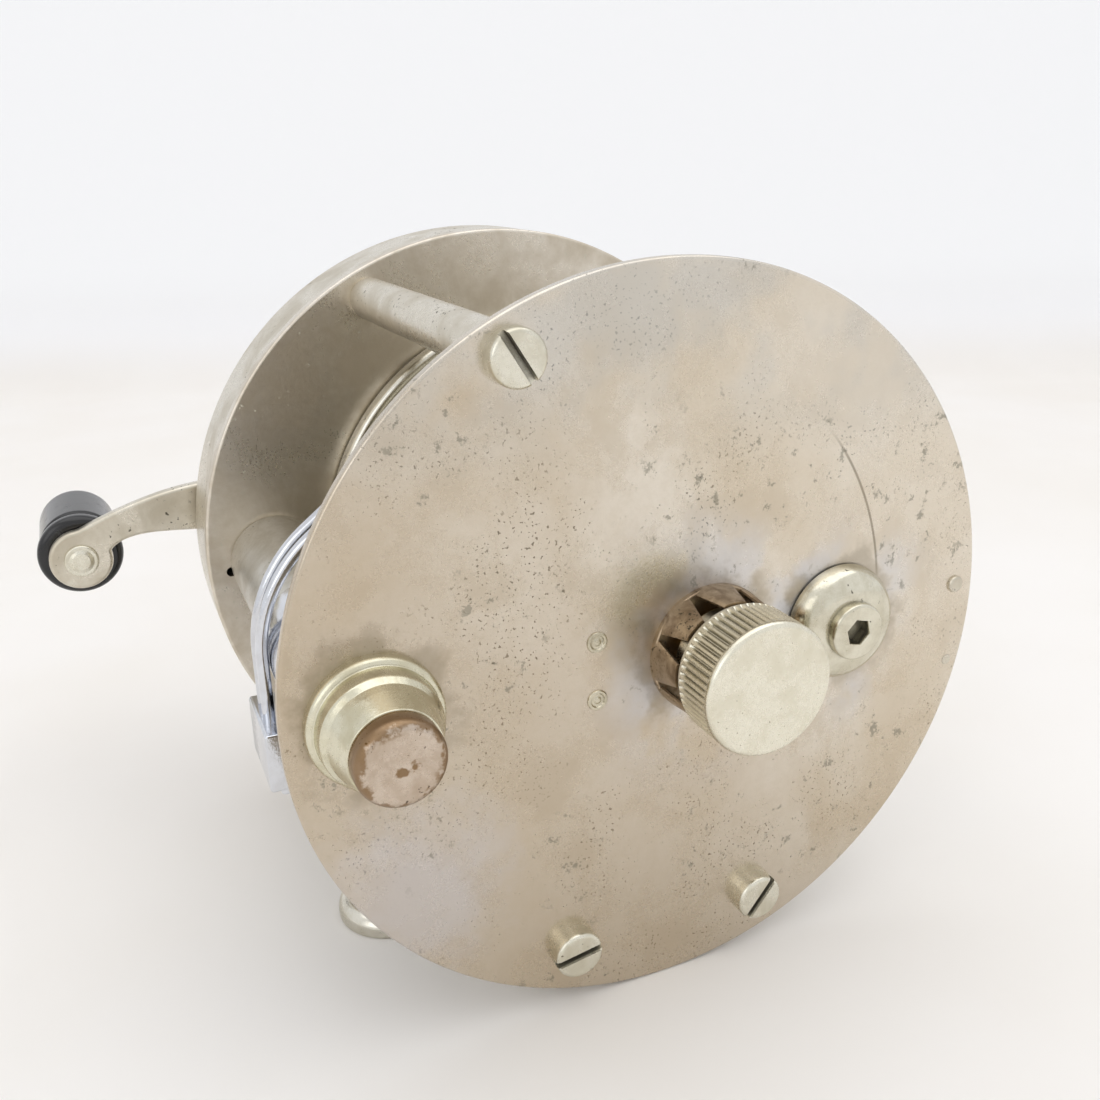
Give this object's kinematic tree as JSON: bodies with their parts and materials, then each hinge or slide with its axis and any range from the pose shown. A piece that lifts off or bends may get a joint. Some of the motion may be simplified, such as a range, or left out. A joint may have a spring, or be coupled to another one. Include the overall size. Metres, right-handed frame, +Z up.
{
  "type": "bait-casting fishing reel",
  "caption": "Level-wind bait-casting reel: two round side plates on pillars, geared spool, S-shaped double-grip crank, line carriage on a slotted tube and a flat foot.",
  "frame": {"origin": "centre of the foot's flat underside, midway between the side plates", "axes": "+X along the spool towards the crank, +Y towards the rod tip (level-wind side), +Z up from the foot"},
  "size_m": [0.0751, 0.0823, 0.0635],
  "materials": {
    "satin_nickel": "satin nickel plate on brass, worn and speckled",
    "polished_nickel": "polished nickel plate",
    "turned_nickel": "turned nickel silver, slightly yellowed",
    "bright_chrome": "bright chromium plate",
    "worn_bronze": "bare spring bronze, browned",
    "gear_brass": "machined brass",
    "bright_steel": "turned and oiled steel",
    "black_grip": "polished black composition",
    "red_fibre": "vulcanised fibre"
  },
  "bodies": {
    "frame": {"tail_plate": "satin_nickel", "head_plate": "satin_nickel", "gear_housing": "satin_nickel", "housing_screws": "turned_nickel", "top_pillar": "turned_nickel", "bottom_pillars": "turned_nickel", "pillar_screws_tail": "turned_nickel", "pillar_screws_head": "bright_steel", "rear_brace": "satin_nickel", "brace_rivets": "satin_nickel", "reel_foot": "polished_nickel", "foot_screws": "turned_nickel", "tail_bushing": "gear_brass", "spring_collar": "worn_bronze", "head_bushing": "gear_brass", "spool_bearing": "gear_brass", "spool_bearing_cap": "turned_nickel", "click_spring": "bright_steel", "click_spring_rivets": "turned_nickel", "handle_bearing": "turned_nickel", "level_wind_tube": "satin_nickel", "level_wind_cap": "turned_nickel", "level_wind_end_cap": "turned_nickel", "idler_stud": "bright_steel"},
    "spool": {"spool_shaft": "bright_steel", "spool_arbor": "gear_brass", "spool_flange_tail": "polished_nickel", "spool_flange_head": "polished_nickel", "spool_pinion": "gear_brass", "click_wheel": "bright_steel"},
    "handle": {"main_gear": "gear_brass", "gear_shaft": "bright_steel", "handle_arm": "turned_nickel", "handle_nut": "turned_nickel", "grip_spindle_front": "turned_nickel", "grip_spindle_rear": "turned_nickel"},
    "front_grip": {"grip_front": "black_grip"},
    "rear_grip": {"grip_rear": "black_grip"},
    "idler": {"idler_gear": "gear_brass"},
    "worm": {"worm_shaft": "bright_steel", "worm_gear": "gear_brass", "worm_gear_nut": "gear_brass"},
    "guide_carriage": {"carriage": "bright_chrome", "pawl_cap": "bright_chrome", "line_guide": "bright_chrome"},
    "guide_pawl": {"pawl": "bright_steel"},
    "tension_knob": {"tension_cap": "turned_nickel", "thrust_disc": "red_fibre"},
    "click_slide": {"click_button": "polished_nickel", "click_pawl": "bright_steel"}
  },
  "joints": [
    {"name": "handle_turn", "type": "hinge", "parent": "frame", "child": "handle", "pos_m": [0.022, 0.00675, 0.03175], "axis": [1, 0, 0], "continuous": true},
    {"name": "spool_spin", "type": "hinge", "parent": "frame", "child": "spool", "pos_m": [0, -0.00375, 0.03175], "axis": [1, 0, 0], "continuous": true},
    {"name": "idler_spin", "type": "hinge", "parent": "frame", "child": "idler", "pos_m": [0.0229, 0.01788, 0.03175], "axis": [1, 0, 0], "continuous": true},
    {"name": "worm_spin", "type": "hinge", "parent": "frame", "child": "worm", "pos_m": [0, 0.02481, 0.03175], "axis": [1, 0, 0], "continuous": true},
    {"name": "carriage_slide", "type": "slide", "parent": "frame", "child": "guide_carriage", "axis": [1, 0, 0], "range_m": [-0.008, 0.02]},
    {"name": "pawl_swivel", "type": "hinge", "parent": "guide_carriage", "child": "guide_pawl", "pos_m": [-0.00635, 0.02481, 0.02475], "axis": [0, 0, 1], "range_deg": [-28, 28]},
    {"name": "tension_turn", "type": "hinge", "parent": "frame", "child": "tension_knob", "pos_m": [-0.025, -0.00375, 0.03175], "axis": [1, 0, 0], "range_deg": [-180, 180]},
    {"name": "click_slide_travel", "type": "slide", "parent": "frame", "child": "click_slide", "axis": [0, 1, 0], "range_m": [0, 0.0016]},
    {"name": "front_grip_spin", "type": "hinge", "parent": "handle", "child": "front_grip", "pos_m": [0.0349, 0.0435, 0.0308], "axis": [1, 0, 0], "continuous": true},
    {"name": "rear_grip_spin", "type": "hinge", "parent": "handle", "child": "rear_grip", "pos_m": [0.0349, -0.03, 0.0327], "axis": [1, 0, 0], "continuous": true}
  ],
  "couplings": [
    {"joint": "spool_spin", "follows": "handle_turn", "ratio": -4},
    {"joint": "idler_spin", "follows": "handle_turn", "ratio": -3.0769},
    {"joint": "worm_spin", "follows": "handle_turn", "ratio": 2}
  ]
}
